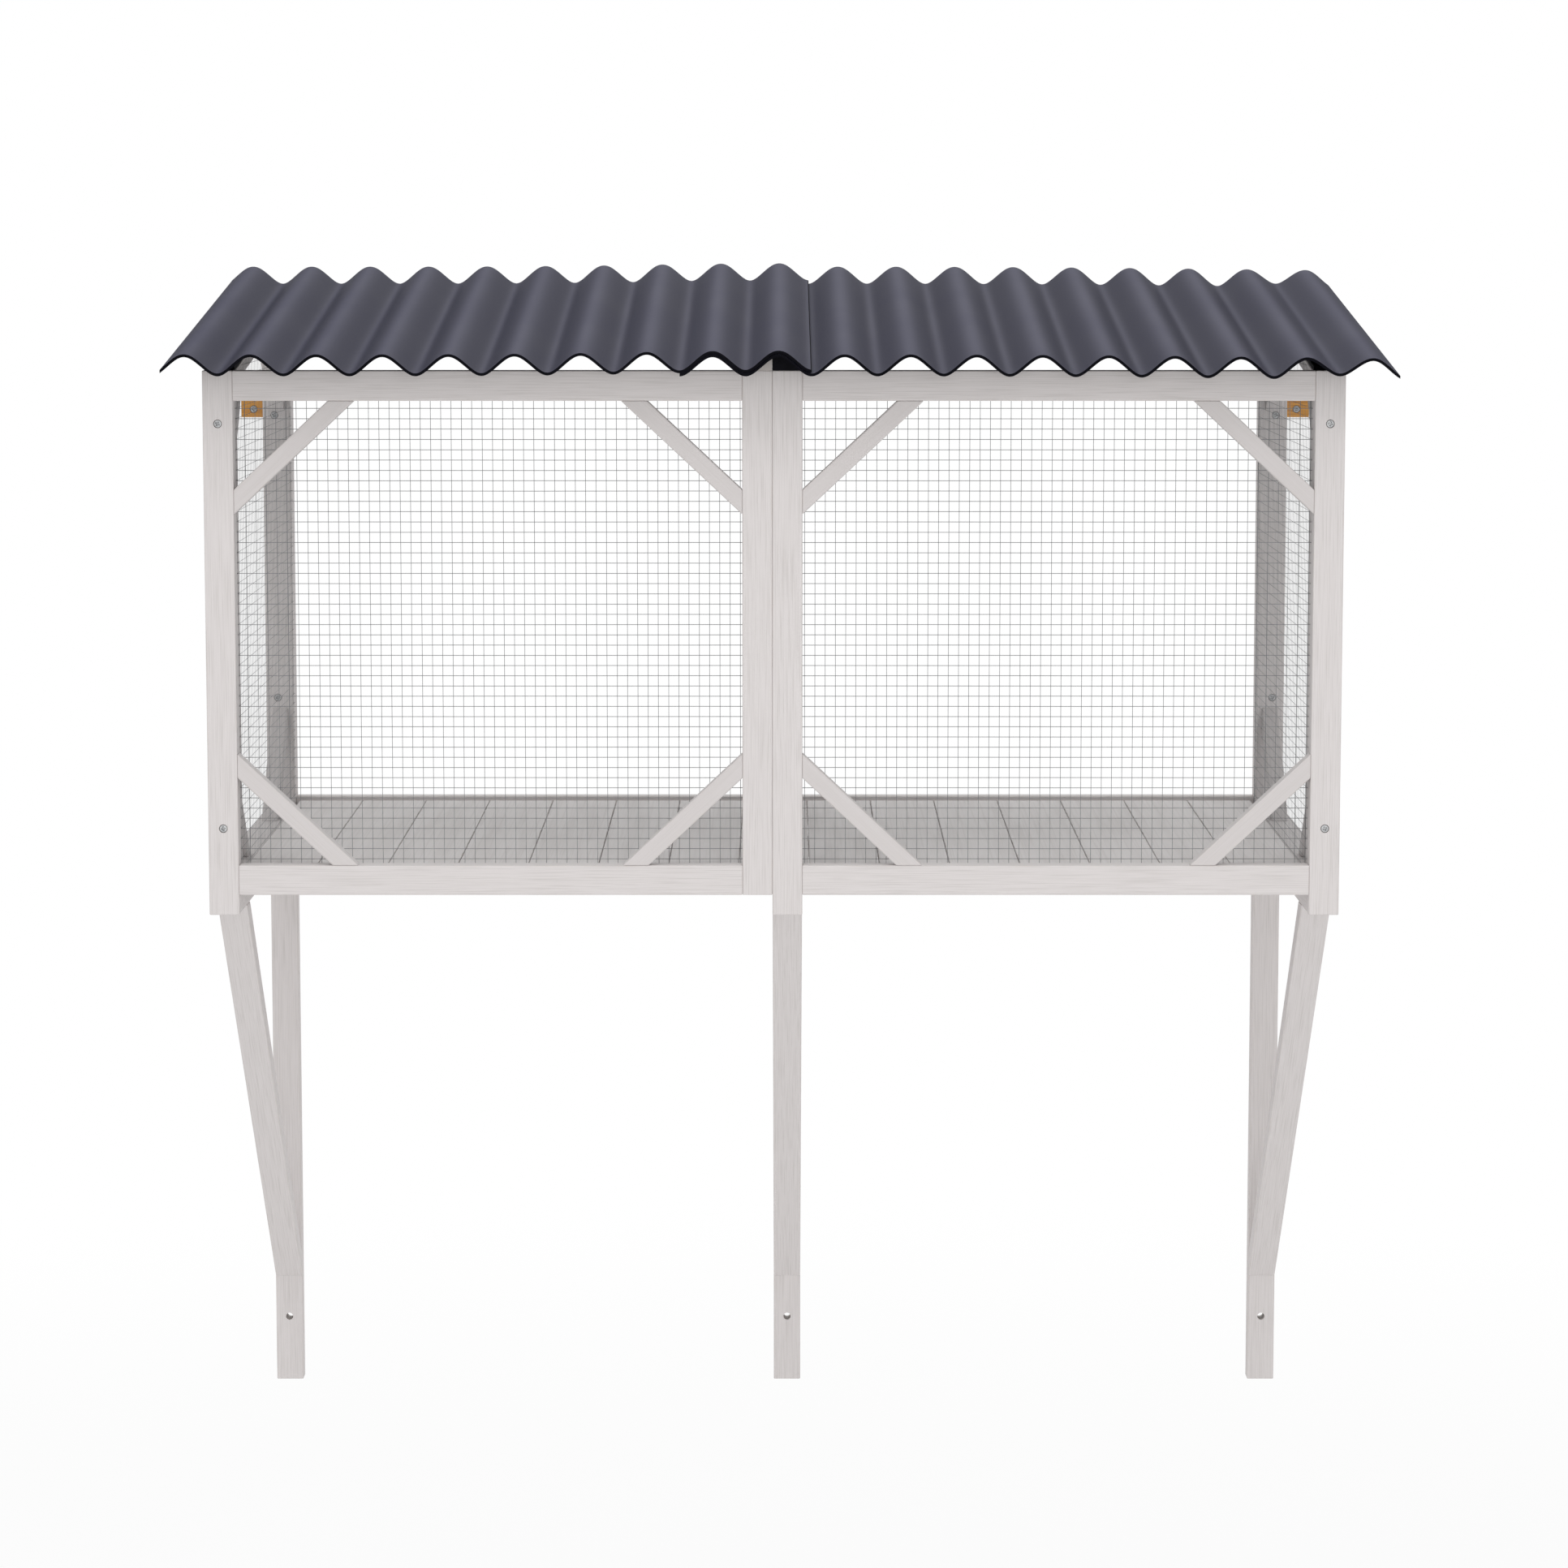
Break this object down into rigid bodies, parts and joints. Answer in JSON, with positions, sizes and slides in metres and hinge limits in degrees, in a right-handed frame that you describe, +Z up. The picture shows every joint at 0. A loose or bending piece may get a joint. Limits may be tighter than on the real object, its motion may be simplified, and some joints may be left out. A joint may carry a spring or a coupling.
{
  "type": "wall-mounted pet enclosure",
  "caption": "Wall-hung timber pet enclosure with wire mesh front and sides, open back, boarded floor, corrugated lean-to roof and strutted wall brackets.",
  "frame": {"origin": "on the wall plane, in the middle of the rectangle of the four wall-bolt holes in the two outer wall posts", "axes": "+X along the wall to the right as seen from the front, +Y into the wall, +Z up; the mesh front faces -Y"},
  "size_m": [1.503, 0.7859, 1.5587],
  "materials": {
    "washed_wood": "white-washed, matt, fine grain along each piece",
    "washed_floor": "white-washed, matt, grain from front to back",
    "natural_wood": "untreated orange-brown softwood",
    "galvanised_wire": "dull galvanised welded wire",
    "roof_sheet": "slate grey corrugated sheet, satin",
    "closure_foam": "black closed-cell foam",
    "zinc_screw": "bright zinc"
  },
  "bodies": {
    "root": {"front_left_post": "washed_wood", "front_right_post": "washed_wood", "front_centre_left_stile": "washed_wood", "front_centre_right_stile": "washed_wood", "front_left_top_rail": "washed_wood", "front_right_top_rail": "washed_wood", "front_left_bottom_rail": "washed_wood", "front_right_bottom_rail": "washed_wood", "left_panel_brace_top_left": "washed_wood", "left_panel_brace_top_right": "washed_wood", "left_panel_brace_bottom_left": "washed_wood", "left_panel_brace_bottom_right": "washed_wood", "right_panel_brace_top_left": "washed_wood", "right_panel_brace_top_right": "washed_wood", "right_panel_brace_bottom_left": "washed_wood", "right_panel_brace_bottom_right": "washed_wood", "front_left_mesh": "galvanised_wire", "front_right_mesh": "galvanised_wire", "left_side_front_stile": "washed_wood", "left_side_rear_stile": "washed_wood", "left_side_top_rail": "washed_wood", "left_side_bottom_rail": "washed_wood", "left_side_braces": "washed_wood", "left_side_mesh": "galvanised_wire", "right_side_front_stile": "washed_wood", "right_side_rear_stile": "washed_wood", "right_side_top_rail": "washed_wood", "right_side_bottom_rail": "washed_wood", "right_side_braces": "washed_wood", "right_side_mesh": "galvanised_wire", "left_wall_post": "washed_wood", "middle_wall_post": "washed_wood", "right_wall_post": "washed_wood", "left_bearer": "washed_wood", "middle_bearer": "washed_wood", "right_bearer": "washed_wood", "left_strut": "washed_wood", "middle_strut": "washed_wood", "right_strut": "washed_wood", "centre_rafter": "washed_wood", "eave_filler_block": "washed_wood", "eave_closure": "closure_foam", "back_sill_left": "washed_wood", "back_sill_right": "washed_wood", "back_top_rail_left": "washed_wood", "back_top_rail_right": "washed_wood", "floor_boards": "washed_floor", "floor_ledger_front": "washed_wood", "floor_ledger_middle": "washed_wood", "floor_ledger_back": "washed_wood", "roof_sheet_left": "roof_sheet", "roof_sheet_right": "roof_sheet", "left_wall_cleat": "natural_wood", "right_wall_cleat": "natural_wood", "front_screws": "zinc_screw", "rear_screws": "zinc_screw", "cleat_screws": "zinc_screw"}
  },
  "joints": []
}
